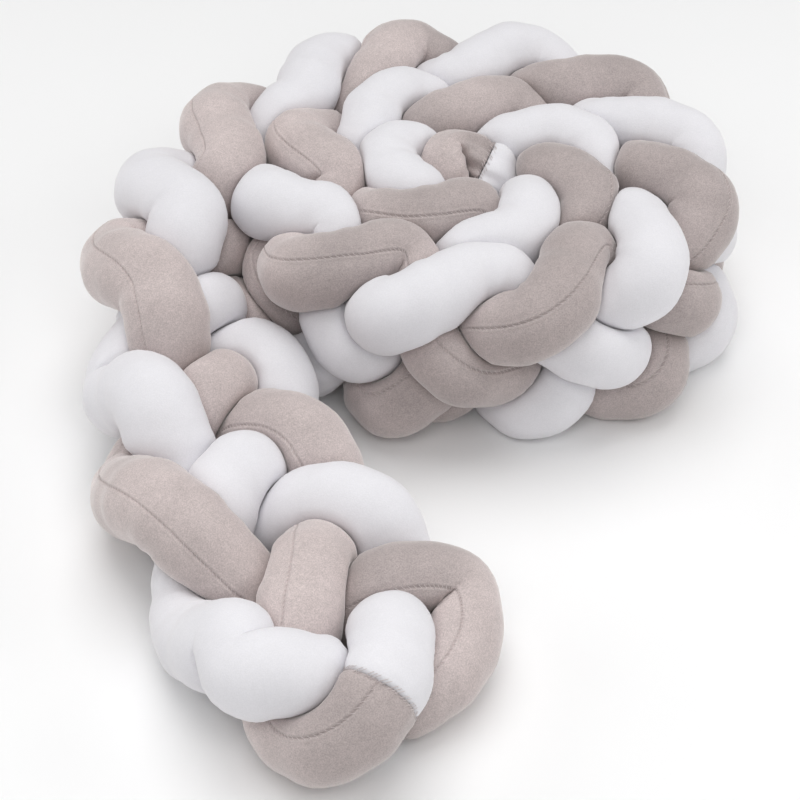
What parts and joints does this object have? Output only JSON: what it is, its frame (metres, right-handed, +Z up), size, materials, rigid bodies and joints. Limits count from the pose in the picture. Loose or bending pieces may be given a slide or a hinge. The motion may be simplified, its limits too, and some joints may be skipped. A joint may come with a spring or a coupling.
{
  "type": "crib bumper",
  "caption": "Crib bumper: stuffed velour tubes in a flat plait, rolled up on its edge with one end lying free.",
  "frame": {"origin": "under the middle of the whole, on the floor", "axes": "+Z up, -Y towards the free end and the camera, +X to the camera's right"},
  "size_m": [0.5984, 0.895, 0.1921],
  "materials": {
    "white_velour": "soft short pile, white",
    "taupe_velour": "soft short pile, warm grey brown"
  },
  "bodies": {
    "root": {"strand_white_a": "white_velour", "strand_taupe_a": "taupe_velour", "strand_white_b": "white_velour", "strand_taupe_b": "taupe_velour"}
  },
  "joints": []
}
